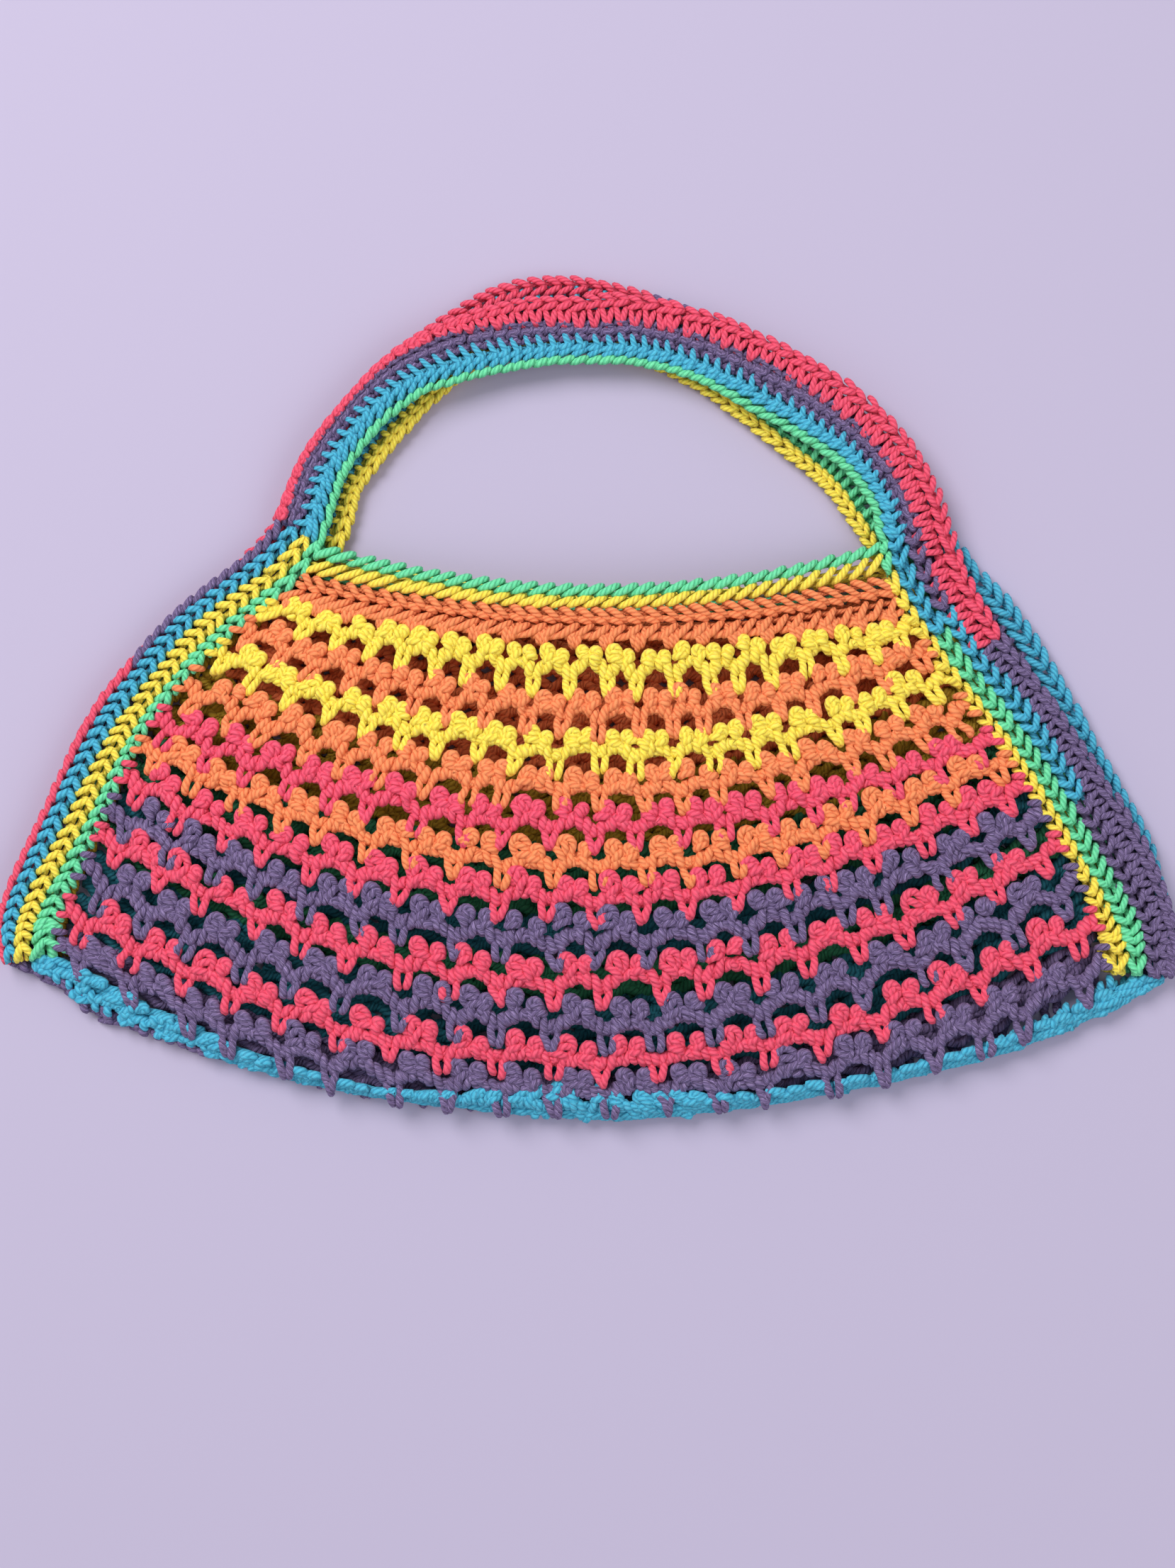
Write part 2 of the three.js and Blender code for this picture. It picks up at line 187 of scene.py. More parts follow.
class Strap:
    """The strap of one side, by the share of its length and the share of its width from the inner edge."""

    def __init__(self, side):
        shoulder = SHOULDER_SPAN / 2
        stations = []
        for sign, stretch in ((-1, "left"), (0, "handle"), (1, "right")):
            for station in STRAPS[side][stretch]:
                if sign:
                    start = MOUTH_SHIFT + sign * shoulder
                    x = start + (sign * BAG_WIDTH / 2 - start) * station[0]
                    y = station[1] * SHOULDER_HEIGHT
                    lift = 0
                else:
                    x = MOUTH_SHIFT + station[0] * shoulder
                    y = SHOULDER_HEIGHT + station[1] * HANDLE_RISE[side]
                    lift = station[3] * HANDLE_LIFT
                stations.append((x, y, station[2] * STRAP_WIDTH, lift))
        stations = np.array(stations)
        edge = catmull_rom(stations[:, :2], STRAP_STEPS)
        sizes = catmull_rom(stations[:, 2:], STRAP_STEPS)
        along = lengths_along(edge)
        self.length = along[-1]
        self.shares = along / self.length
        tangent = np.gradient(edge, axis=0)
        tangent /= np.linalg.norm(tangent, axis=1)[:, None]
        inner = edge + np.stack([tangent[:, 1], -tangent[:, 0]], 1) * sizes[:, :1]
        self.left_corner = self.shares[len(STRAPS[side]["left"]) * STRAP_STEPS]
        self.right_corner = self.shares[(len(stations) - 1 - len(STRAPS[side]["right"])) * STRAP_STEPS]
        self.edge, self.inner, self.lift = edge, inner, sizes[:, 1]
        self.front = side == "front"

    def place(self, share, across, height):
        outer = table(share, self.shares, self.edge)
        inner = table(share, self.shares, self.inner)
        flat = inner + (outer - inner) * across[..., None]
        base = (FRONT_LEVEL if self.front else 0) + np.interp(share, self.shares, self.lift)
        z = base + (height if self.front else FABRIC - height)
        return np.concatenate([flat, z[..., None]], axis=-1)

    def width(self, share):
        outer = table(share, self.shares, self.edge)
        return np.linalg.norm(outer - table(share, self.shares, self.inner), axis=-1)

    def side_point(self, side_share, right):
        """A point of the inner edge beside the panel, by the share of the way up from the fold."""
        share = 1 - side_share * (1 - self.right_corner) if right else side_share * self.left_corner
        return table(share, self.shares, self.inner)


class Panel:
    """A panel by the row, counted from the foundation, the share across, and the height off its inside."""

    def __init__(self, side, strap):
        lines = np.array(ROW_LINES)
        self.rows = np.arange(len(lines))
        self.left = strap.side_point(lines[:, 1], False)
        self.right = strap.side_point(lines[:, 2], True)
        self.height = lines[:, 0] * MOUTH_HEIGHT
        self.swell = lines[:, 3]
        self.front = side == "front"

    def place(self, row, across, height):
        left = table(row, self.rows, self.left)
        right = table(row, self.rows, self.right)
        middle = np.interp(row, self.rows, self.height)
        u = across
        x = left[..., 0] + (right[..., 0] - left[..., 0]) * u
        y = left[..., 1] * (1 - u) * (1 - 2 * u) + middle * 4 * u * (1 - u) + right[..., 1] * u * (2 * u - 1)
        y = y - np.interp(u, *OVERHANG.T) * np.clip(1 - row, 0, 1)
        swell = np.interp(row, self.rows, self.swell) * 4 * u * (1 - u) * POCKET_DEPTH
        z = FRONT_LEVEL + swell + height if self.front else FABRIC - height
        return np.stack([x, y, z], axis=-1)

    def row_length(self, row):
        row = np.asarray(float(row))
        ends = table(row, self.rows, self.left), table(row, self.rows, self.right)
        return np.linalg.norm(ends[1] - ends[0])


# Strands
def smooth(controls, rings):
    """Points along uniform Catmull-Rom curves through the controls of each strand."""
    controls = np.asarray(controls, float)
    count = controls.shape[-2]
    spans = count - 1
    t = np.linspace(0, spans, rings)
    k = np.minimum(t.astype(int), spans - 1)
    f = t - k
    weights = np.zeros((rings, count + 2))
    basis = np.stack([
        -0.5 * f + f**2 - 0.5 * f**3,
        1 - 2.5 * f**2 + 1.5 * f**3,
        0.5 * f + 2 * f**2 - 1.5 * f**3,
        -0.5 * f**2 + 0.5 * f**3,
    ], axis=1)
    for offset in range(4):
        weights[np.arange(rings), k + offset] += basis[:, offset]
    first = 2 * controls[..., :1, :] - controls[..., 1:2, :]
    last = 2 * controls[..., -1:, :] - controls[..., -2:-1, :]
    padded = np.concatenate([first, controls, last], axis=-2)
    return np.einsum("rc,...cd->...rd", weights, padded)


def unit(vectors):
    return vectors / np.maximum(np.linalg.norm(vectors, axis=-1, keepdims=True), 1e-9)


TIP = 0.6  # how far a strand's point stands out, as a share of its radius
STEEP = 0.8  # how much of a strand's first direction may be upward before its rings start sideways


class Yarn:
    """Gathers strands and turns them into one mesh."""

    def __init__(self):
        self.parts = []

    def add(self, paths, radii, colour, sides):
        """Adds strands. paths is (strands, rings, 3) in millimetres, and radii fits (strands, rings)."""
        paths = np.asarray(paths, float).reshape(-1, np.shape(paths)[-2], 3)
        count, rings = paths.shape[:2]
        if not count:
            return
        radii = np.broadcast_to(radii, (count, rings))
        tangents = unit(np.gradient(paths, axis=1))
        normals = np.empty_like(paths)
        steep = np.abs(tangents[:, 0, 2]) > STEEP
        normal = np.where(steep[:, None], [1.0, 0, 0], [0.0, 0, 1])
        for ring in range(rings):
            tangent = tangents[:, ring]
            normal = unit(normal - (normal * tangent).sum(-1, keepdims=True) * tangent)
            normals[:, ring] = normal
        sideways = np.cross(tangents, normals)
        angle = np.arange(sides) * 2 * np.pi / sides
        ring_points = paths[:, :, None] + radii[..., None, None] * (
            np.cos(angle)[:, None] * normals[:, :, None] + np.sin(angle)[:, None] * sideways[:, :, None]
        )
        start = paths[:, :1] - tangents[:, :1] * radii[:, :1, None] * TIP
        end = paths[:, -1:] + tangents[:, -1:] * radii[:, -1:, None] * TIP
        points = np.concatenate([ring_points.reshape(count, -1, 3), start, end], axis=1)
        ring = np.arange(rings - 1)[:, None] * sides
        j = np.arange(sides)
        nxt = (j + 1) % sides
        quads = np.stack([ring + j, ring + nxt, ring + nxt + sides, ring + j + sides], axis=-1)
        quads = quads.reshape(-1, 4)
        pole = rings * sides
        last = (rings - 1) * sides
        caps = np.concatenate([
            np.stack([nxt, j, np.full(sides, pole)], axis=-1),
            np.stack([last + j, last + nxt, np.full(sides, pole + 1)], axis=-1),
        ])
        steps = np.linalg.norm(np.diff(paths, axis=1), axis=-1)
        length = np.concatenate([np.zeros((count, 1)), np.cumsum(steps, axis=1)], axis=1)
        phase = rng.random((count, 1))
        along = length / (2 * YARN) + phase
        self.parts.append((points, quads, caps, along, sides, colour))

    def mesh(self, name, colours):
        """The strands as one mesh with a coordinate round and along the yarn."""
        points, loops, starts, totals, uvs, slots = [], [], [], [], [], []
        offset = 0
        corner = 0
        for part, quads, caps, along, sides, colour in self.parts:
            count, size = part.shape[:2]
            base = offset + np.arange(count)[:, None, None] * size
            quad_loops = (quads[None] + base).reshape(-1)
            cap_loops = (caps[None] + base).reshape(-1)
            rings = along.shape[1]
            j = np.arange(sides)
            ring_uv = np.array([0, 1, 1, 0])
            around = np.broadcast_to((j[:, None] + ring_uv) / sides, (count, rings - 1, sides, 4))
            lengthwise = np.stack([along[:, :-1], along[:, :-1], along[:, 1:], along[:, 1:]], axis=-1)
            lengthwise = np.broadcast_to(lengthwise[:, :, None], (count, rings - 1, sides, 4))
            uvs.append(np.stack([around, lengthwise], axis=-1).reshape(-1, 2))
            cap_uv = np.array([1, 0, 0.5])
            cap_around = np.broadcast_to((j[:, None] + cap_uv) / sides, (count, 2, sides, 3))
            cap_along = np.broadcast_to(along[:, [0, -1]][:, :, None, None], (count, 2, sides, 3))
            uvs.append(np.stack([cap_around, cap_along], axis=-1).reshape(-1, 2))
            loops += [quad_loops, cap_loops]
            quad_count, cap_count = len(quad_loops) // 4, len(cap_loops) // 3
            sizes = np.concatenate([np.full(quad_count, 4), np.full(cap_count, 3)])
            starts.append(corner + np.concatenate([[0], np.cumsum(sizes)[:-1]]))
            totals.append(sizes)
            slots.append(np.full(len(sizes), colours.index(colour)))
            points.append(part.reshape(-1, 3))
            offset += count * size
            corner += len(quad_loops) + len(cap_loops)
        points = np.concatenate(points)
        loops = np.concatenate(loops)
        starts = np.concatenate(starts)
        totals = np.concatenate(totals)
        points = (points - MIDDLE) * MM
        points[:, 2] = np.maximum(points[:, 2], FLOOR_GAP)
        mesh = bpy.data.meshes.new(name)
        mesh.vertices.add(len(points))
        mesh.vertices.foreach_set("co", points.astype(np.float32).ravel())
        mesh.loops.add(len(loops))
        mesh.loops.foreach_set("vertex_index", loops.astype(np.int32))
        mesh.polygons.add(len(starts))
        mesh.polygons.foreach_set("loop_start", starts.astype(np.int32))
        mesh.polygons.foreach_set("loop_total", totals.astype(np.int32))
        mesh.polygons.foreach_set("use_smooth", np.ones(len(starts), bool))
        mesh.polygons.foreach_set("material_index", np.concatenate(slots).astype(np.int32))
        layer = mesh.uv_layers.new(name="yarn")
        layer.data.foreach_set("uv", np.concatenate(uvs).astype(np.float32).ravel())
        for colour in colours:
            mesh.materials.append(MATERIALS[colour])
        mesh.update()
        mesh.validate()
        return mesh

    def piece(self, name, slot):
        """Makes the piece that stands for the node of that name."""
        colours = list(dict.fromkeys(part[-1] for part in self.parts))
        piece = bpy.data.objects.new(f"yarn_{name}", self.mesh(name, colours))
        bpy.context.scene.collection.objects.link(piece)
        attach(piece, "root")
        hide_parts(name)


# Materials
YARN_COLOURS = {
    # colour: (base, painted shade between plies, light fibres) in sRGB
    "purple": ((100, 84, 124), (42, 31, 58), (172, 150, 198)),
    "pink": ((244, 82, 112), (206, 40, 78), (255, 140, 158)),
    "orange": ((250, 146, 92), (226, 96, 54), (255, 182, 132)),
    "yellow": ((255, 232, 78), (238, 190, 36), (255, 246, 160)),
    "mint": ((110, 226, 166), (58, 184, 126), (176, 248, 210)),
    "turquoise": ((72, 182, 214), (26, 126, 168), (140, 216, 238)),
    # Painted shade: darker copies of turquoise, mint, yellow and orange, for the back seen through the
    # front's holes
    "shaded_turquoise": ((30, 104, 120), (10, 56, 70), (60, 138, 150)),
    "shaded_mint": ((42, 122, 84), (16, 70, 48), (80, 160, 114)),
    "shaded_yellow": ((184, 150, 40), (126, 94, 18), (212, 186, 80)),
    "shaded_orange": ((240, 122, 70), (190, 74, 36), (250, 160, 112)),
}
PLIES = 3
PLY_TURNS = 0.42  # turns of the plies for each yarn thickness along


def yarn_material(name):
    base, ply_shade, light = (linear(colour) for colour in YARN_COLOURS[name])
    material = bpy.data.materials.new(f"{name}_yarn")
    material.use_nodes = True
    nodes = material.node_tree.nodes
    links = material.node_tree.links
    shader = nodes["Principled BSDF"]
    shader.inputs["Roughness"].default_value = 0.72
    shader.inputs["Specular IOR Level"].default_value = 0.25
    shader.inputs["Sheen Weight"].default_value = 0.35
    shader.inputs["Sheen Roughness"].default_value = 0.45
    shader.inputs["Sheen Tint"].default_value = light

    def math_node(operation, *values):
        node = nodes.new("ShaderNodeMath")
        node.operation = operation
        for socket, value in zip(node.inputs, values):
            if isinstance(value, (int, float)):
                socket.default_value = value
            else:
                links.new(value, socket)
        return node.outputs[0]

    uv = nodes.new("ShaderNodeUVMap")
    uv.uv_map = "yarn"
    split = nodes.new("ShaderNodeSeparateXYZ")
    links.new(uv.outputs[0], split.inputs[0])
    twist = math_node(
        "ADD",
        math_node("MULTIPLY", split.outputs[0], PLIES * 2 * math.pi),
        math_node("MULTIPLY", split.outputs[1], PLY_TURNS * PLIES * 2 * math.pi),
    )
    ply = math_node("MULTIPLY_ADD", math_node("SINE", twist), 0.5, 0.5)
    rounded = math_node("POWER", ply, 0.5)
    place = nodes.new("ShaderNodeTexCoord")
    fuzz = nodes.new("ShaderNodeTexNoise")
    fuzz.inputs["Scale"].default_value = 2600
    fuzz.inputs["Detail"].default_value = 3
    links.new(place.outputs["Object"], fuzz.inputs["Vector"])
    fibre = nodes.new("ShaderNodeTexNoise")
    fibre.inputs["Scale"].default_value = 1.6
    fibre.inputs["Detail"].default_value = 3
    combine = nodes.new("ShaderNodeCombineXYZ")
    links.new(math_node("MULTIPLY", twist, 0.8), combine.inputs[0])
    links.new(math_node("MULTIPLY", split.outputs[1], 0.7), combine.inputs[1])
    links.new(combine.outputs[0], fibre.inputs["Vector"])
    height = math_node("ADD", rounded, math_node("MULTIPLY", fuzz.outputs[0], 0.35))
    height = math_node("ADD", height, math_node("MULTIPLY", fibre.outputs[0], 0.45))
    bump = nodes.new("ShaderNodeBump")
    bump.inputs["Strength"].default_value = 0.8
    bump.inputs["Distance"].default_value = 0.0005
    links.new(height, bump.inputs["Height"])
    links.new(bump.outputs[0], shader.inputs["Normal"])

    # Painted shade: the colour darkens towards the second colour of YARN_COLOURS in the grooves between the
    # plies
    shade = nodes.new("ShaderNodeMix")
    shade.data_type = "RGBA"
    shade.inputs["A"].default_value = ply_shade
    shade.inputs["B"].default_value = base
    links.new(math_node("MULTIPLY_ADD", rounded, 0.85, 0.2), shade.inputs["Factor"])
    tint = nodes.new("ShaderNodeMix")
    tint.data_type = "RGBA"
    tint.inputs["B"].default_value = light
    links.new(shade.outputs["Result"], tint.inputs["A"])
    heather = 0.9 if name == "purple" else 0.45
    above = math_node("SUBTRACT", fibre.outputs[0], 0.46)
    streak = math_node("SMOOTH_MIN", math_node("MULTIPLY", above, 4), 1.0)
    links.new(math_node("MULTIPLY", math_node("MAXIMUM", streak, 0.0), heather), tint.inputs["Factor"])
    links.new(tint.outputs["Result"], shader.inputs["Base Color"])
    return material


MATERIALS = {name: yarn_material(name) for name in YARN_COLOURS}
# The yarn colour that each darker copy stands for
# Each key is painted shade: a darker copy of the yarn colour it maps to, for the back seen through the
# front's holes
SLOTS = {"shaded_turquoise": "turquoise", "shaded_mint": "mint", "shaded_yellow": "yellow", "shaded_orange": "orange"}


# Net rows
END_MARGIN = 0.002  # share of a row's length that its strands keep from its ends


class Band:
    """A row between two lines: share of its length, up in millimetres from the lower line, and height."""

    def __init__(self, point, count, offset=0.0):
        self.point = point
        self.count = count
        self.offset = offset
        self.grid = np.linspace(0, 1, 60)
        self.along = lengths_along(point(0 * self.grid + 0.5, self.grid, 0 * self.grid)[:, :2])

    def place(self, along, up, height):
        across = self.across(np.clip(along, END_MARGIN, 1 - END_MARGIN))
        flat = np.zeros_like(across)
        low = self.point(flat, across, height)
        step = self.point(flat + 1, across, height) - low
        tall = np.maximum(np.linalg.norm(step[..., :2], axis=-1), 1e-6)
        inside = np.clip(up, 0, tall)
        beyond = (up - inside)[..., None]
        return self.point(inside / tall, across, height) + unit(step * [1, 1, 0]) * beyond

    def across(self, along):
        """The share of the way across, from the share of the row's length."""
        return np.interp(along, self.along / self.along[-1], self.grid)

    def tall(self, along):
        across = self.across(along)
        flat = np.zeros_like(across)
        step = self.point(flat + 1, across, flat) - self.point(flat, across, flat)
        return np.linalg.norm(step[..., :2], axis=-1)

    def length(self):
        return self.along[-1]


# In millimetres, unless said otherwise
CROTCH = 3.4  # how far above a row's lower line its ropes meet
LEG_DROP = 3.3  # how far a leg reaches over the row below
FIRST_LEG_DROP = 4.8  # the same for the first row, over the foundation row
FULL_PITCH = 16.7  # the spacing of the columns at which a stitch has its full size
SCALES = (0.66, 1.04)  # the smallest and largest size of a stitch
LOW_ROW = 8.6  # the height of a row whose ropes wouldn't arch
RISES = (2.2, 6)  # the least and most that a rope arches
ROPE_TURNS = 0.155  # turns of a rope's two strands for each millimetre
ROPE_WIDTH = 1.8  # how far the two strands swing out
ROPE_HEIGHT = 2.6
CORE_HEIGHT = 2.3
CORE_RINGS = 7
CORE_SIDES = 5
RIPPLE_LINES = 4  # wavy strands that fill a row of the back
RIPPLE_STEPS = 8  # their steps for each column
EAR_SPREAD = 3.3  # from the arch's middle to the middle of an ear
EAR_RISE = 4.1  # from the arch to the middle of an ear
EAR_STRETCH = 1.14  # how much wider an ear is than its controls
# The three strands of an ear: across, up and height of each control
EAR_STRANDS = (
    ([-1.4, -1.9, -1.1, 0.7, 1.8, 1.5], [-3.6, -1.0, 1.3, 1.5, -0.3, -3.2], [2.6, 3.7, 4.5, 4.6, 3.9, 2.8]),
    ([-1.1, -0.5, 0.3, 1.1], [-3.0, -1.3, -0.3, 0.5], [3.4, 4.6, 4.6, 3.6]),
    ([1.9, 0.6, -0.8, -1.9], [-2.4, -2.9, -3.6, -4.6], [3.2, 4.7, 4.9, 3.3]),
)
EAR_RINGS = {"front": (11, 6, 6), "back": (8, 4, 4)}
# The controls of a leg: how far out, how much further for each millimetre between the pair, how much of the
# slant, and height. Then its thickness at each ring
LEG_ACROSS = np.array([2.2, 2.1, 0.7, 0.4, 0])
LEG_GAP = np.array([0, 0, 1.05, 1, 0.9])
LEG_SLANT = np.array([0, 0, 0.4, 0.8, 1.0])
LEG_HEIGHT = np.array([2.4, 4.1, 4.7, 4.2, 2.6])
LEG_TAPER = np.array([0.8, 0.95, 1.02, 1.05, 1.08, 1.08, 1, 0.8])
# Rings for each turn and sides of the strands
NET_DETAIL = {"front": (7, 6), "back": (5, 5)}


def net_row(yarn, band, colour, side, crotch=CROTCH, drop=LEG_DROP):
    """A row of the net. Ropes of wound yarn arch from column to column, two ears stand on each arch, and a
    pair of legs under each meeting grips the row below."""
    rings, sides = NET_DETAIL[side]
    count = band.count
    pitch = band.length() / count
    scale = float(np.clip(pitch / FULL_PITCH, *SCALES))
    thickness = 0.48 + 0.5 * scale
    strand = YARN * (0.95 + 0.28 * thickness)
    shift = rng.normal(0, 0.08, count)
    sink = rng.normal(0, 0.6, count)
    columns = np.arange(count) + 0.5 + band.offset + shift
    starts = np.concatenate([[columns[0] - 1], columns]) / count
    ends = np.concatenate([columns, [columns[-1] + 1]]) / count
    sinks = np.concatenate([[0], sink, [0]])
    reach = np.tile([0.0, 1.0], (count + 1, 1))
    reach[0, 0] = np.clip(-starts[0] * count, 0.02, 0.98)
    reach[-1, 1] = np.clip((1 - starts[-1]) * count, 0.02, 0.98)
    hump = (starts + ends) / 2
    tall = band.tall(np.clip(hump, 0.004, 0.996))
    rise = np.clip((tall - LOW_ROW) * 0.8, *RISES) + rng.normal(0, 0.55, count + 1)

    def centre(t):
        """The middle of each rope, in millimetres across from the arch's middle, and up."""
        across = (starts[:, None] - hump[:, None] + (ends - starts)[:, None] * t) * count * pitch
        foot = sinks[:-1][:, None] * (1 - t) + sinks[1:][:, None] * t
        return across, crotch + foot + rise[:, None] * np.sin(np.pi * t)

    # Ropes of two strands, wound towards the middle of the arch
    turns = ROPE_TURNS * math.hypot(pitch, 2.2 * rise.mean())
    steps = int(turns * rings * 1.25)
    t = reach[:, :1] + (reach[:, 1:] - reach[:, :1]) * np.linspace(0, 1, steps)
    across, up = centre(t)
    step = unit(np.stack([np.gradient(across, axis=1), np.gradient(up, axis=1)], axis=-1))
    wobble = rng.normal(0, 1, (count + 1, 6))
    for which in (0, 1):
        angle = 2 * np.pi * turns * (np.abs(t - 0.5) + 0.04 * np.sin(8 * t + wobble[:, :1] * 2))
        angle = angle + wobble[:, 1:2] * 3 + which * np.pi + 0.3 * np.sin(5 * t + wobble[:, 2:3] * 3 + which)
        bulge = 1 + 0.2 * np.sin(7 * t + wobble[:, 3:4] * 3 + which * 2)
        wide = ROPE_WIDTH * thickness * bulge * (0.82 + 0.18 * np.sin(np.pi * t))
        sideways = np.cos(angle) * wide
        x = hump[:, None] + (across - step[..., 1] * sideways) / (pitch * count)
        y = up + step[..., 0] * sideways
        z = ROPE_HEIGHT + 0.4 * np.sin(np.pi * t) + np.sin(angle) * (0.75 + 0.35 * thickness) * bulge
        swell = np.sin(6 * t + wobble[:, 4 + which][:, None] * 3)
        yarn.add(band.place(x, y, z), strand * (1.02 + 0.1 * swell + 0.1 * np.sin(angle)), colour, sides)
    t = reach[:, :1] + (reach[:, 1:] - reach[:, :1]) * np.linspace(0, 1, CORE_RINGS)
    across, up = centre(t)
    core = band.place(hump[:, None] + across / (pitch * count), up, CORE_HEIGHT + 0 * up)
    yarn.add(core, 0.95 + 0.9 * thickness, colour, CORE_SIDES)

    # Ears, on the arches that lie inside the row's ends
    keep = (hump > 0.012) & (hump < 0.988)
    ear_size = 0.16 + 0.93 * scale
    for sign, size in ((-1, 1.02), (1, 0.8)):
        grow = size * ear_size * (1 + rng.normal(0, 0.13, (count + 1, 1)))
        turn = rng.normal(-0.1 * sign, 0.45, (count + 1, 1))
        centre_x = sign * EAR_SPREAD * (0.15 + 0.85 * scale) + rng.normal(0, 0.35, (count + 1, 1))
        foot = (rise + crotch + (EAR_RISE - 0.4 * sign) * ear_size)[:, None]
        centre_y = foot + rng.normal(0, 0.6, (count + 1, 1))
        flip = np.where(rng.random((count + 1, 1)) < 0.5, 1, -1)
        for controls, number in zip(EAR_STRANDS, EAR_RINGS[side]):
            across, up, z = np.array(controls)
            across, up = across * flip * grow * EAR_STRETCH, up * grow
            x = centre_x + np.cos(turn) * across - np.sin(turn) * up
            y = centre_y + np.sin(turn) * across + np.cos(turn) * up
            z = z + rng.normal(0, 0.15, (count + 1, 1))
            path = smooth(np.stack([hump[:, None] + x / (pitch * count), y, z], axis=-1), number)
            paths = band.place(path[..., 0], path[..., 1], path[..., 2])
            yarn.add(paths[keep], strand * 1.02, colour, sides)

    # Legs
    gap = np.abs(rng.normal(0.75, 0.5, (count, 1)))
    slant = rng.normal(0, 0.5, (count, 1))
    for sign in (-1, 1):
        jitter = rng.normal(0, 1, (count, 3))
        x = (LEG_ACROSS + LEG_GAP * gap) * sign * scale + slant * LEG_SLANT + jitter[:, :1] * 0.2
        y = np.array([crotch + 0.2, 1.2, -0.25 * drop, -0.7 * drop, -drop])
        y = y + sink[:, None] + jitter[:, 1:2] * 0.4
        z = LEG_HEIGHT + jitter[:, 2:3] * 0.15
        path = np.stack([columns[:, None] / count + x / (pitch * count), y, z], axis=-1)
        path = smooth(path, len(LEG_TAPER))
        paths = band.place(path[..., 0], path[..., 1], path[..., 2])
        yarn.add(paths, strand * LEG_TAPER, colour, sides)


def fill_row(yarn, band, colour):
    """The plain side of a back row's stitches, which shows through the front: wavy strands beside each
    other."""
    share = np.linspace(0.005, 0.995, band.count * RIPPLE_STEPS)
    ripples = share * band.count * 2 * np.pi
    for k in range(RIPPLE_LINES):
        wave = np.sin(1.5 * ripples + np.pi * k + 0.4 * np.sin(ripples * 0.37 + k))
        y = band.tall(share) * (k + 0.5) / RIPPLE_LINES + 1.1 * wave
        paths = band.place(share, y, 1.8 + 0.9 * np.sin(3 * ripples + k))[None]
        yarn.add(paths, 2.0 + 0.2 * np.sin(3 * ripples + 2 * k), colour, CORE_SIDES)


GRIP_SIDES = 6


def grips(yarn, band, colour):
    """Groups of short strands that reach down from a close row into the net under it."""
    count = band.count
    pitch = band.length() / count
    columns = (np.arange(count) + 0.5 + band.offset) / count
    radii = YARN * np.array([0.85, 1, 1.08, 1.1, 1.08, 1, 0.8])
    for offset in (-1.9, 0.0, 1.9):
        jitter = rng.normal(0, 1, (count, 3))
        x = offset * np.array([1.15, 1.0, 0.75, 0.5]) + jitter[:, :1] * 0.25
        y = np.array([3.6, 1.2, -1.4, -3.2]) + jitter[:, 1:2] * 0.4 + 0.3 * abs(offset)
        z = np.array([2.8, 4.2, 4.2, 2.6]) + jitter[:, 2:3] * 0.15
        path = smooth(np.stack([columns[:, None] + x / (pitch * count), y, z], axis=-1), len(radii))
        yarn.add(band.place(path[..., 0], path[..., 1], path[..., 2]), radii, colour, GRIP_SIDES)


# Close rows, as strands for each stitch: share of the pitch along, share of the row's width from its inner
# edge, height in millimetres, and for some the share of the usual thickness
TEETH = [
    [(0.0, -0.34, 3.4), (-0.13, -0.12, 4.8), (-0.27, 0.16, 4.9), (-0.36, 0.44, 3.8)],
    [(0.04, -0.34, 3.4), (0.16, -0.12, 4.8), (0.26, 0.16, 4.9), (0.32, 0.44, 3.8)],
]
PLAIT = [
    [(-0.6, 0.98, 3.4), (-0.22, 0.93, 4.8), (0.18, 0.82, 4.9), (0.5, 0.7, 3.4)],
    [(-0.6, 0.48, 3.4), (-0.22, 0.54, 4.8), (0.18, 0.63, 4.9), (0.5, 0.74, 3.4)],
]
SPIKES = [
    [(0.3, 0.34, 3.8, 0.9), (0.1, 0.7, 4.9, 1), (-0.08, 1.02, 4.9, 0.9), (-0.18, 1.34, 3.8, 0.62)],
    [(-0.62, 0.5, 3.2, 0.8), (-0.25, 0.42, 4.6, 1.1), (0.12, 0.5, 4.8, 1.1), (0.5, 0.78, 3.4, 0.8)],
    [(-0.55, 0.0, 3.0, 0.8), (-0.2, 0.1, 4.3, 1.05), (0.15, 0.28, 4.5, 1.05), (0.5, 0.4, 3.2, 0.8)],
]
KNOBS = [
    [(-0.5, 0.3, 2.9), (-0.26, 0.5, 4.2), (0.0, 0.42, 4.3), (0.2, 0.2, 3.0)],
    [(0.0, 0.66, 3.0), (0.2, 0.46, 4.2), (0.42, 0.5, 4.1), (0.56, 0.72, 3.0)],
    [(-0.6, 0.74, 3.0), (-0.3, 0.88, 4.3), (0.1, 0.84, 4.4), (0.42, 0.66, 3.2)],
    [(-0.4, 0.0, 3.0), (-0.1, 0.12, 3.9), (0.2, 0.12, 3.9), (0.5, 0.0, 3.0)],
]
LEAVES = [
    [(-0.62, 0.98, 2.8), (-0.28, 0.84, 4.7), (0.14, 0.58, 5.1), (0.5, 0.34, 3.6)],
    [(0.42, 0.66, 3.0), (0.3, 0.36, 4.6), (-0.02, 0.06, 4.6), (-0.32, -0.14, 3.2)],
]
TWIST = [
    [(-0.7, 0.2, 3.0), (-0.3, 0.2, 4.6), (0.15, 0.5, 4.9), (0.55, 0.85, 3.2)],
]
CHAIN = [
    [(-0.66, 0.1, 2.8), (-0.34, 0.2, 4.7), (0.06, 0.5, 5.2), (0.4, 0.8, 4.6), (0.62, 0.95, 3.0)],
]
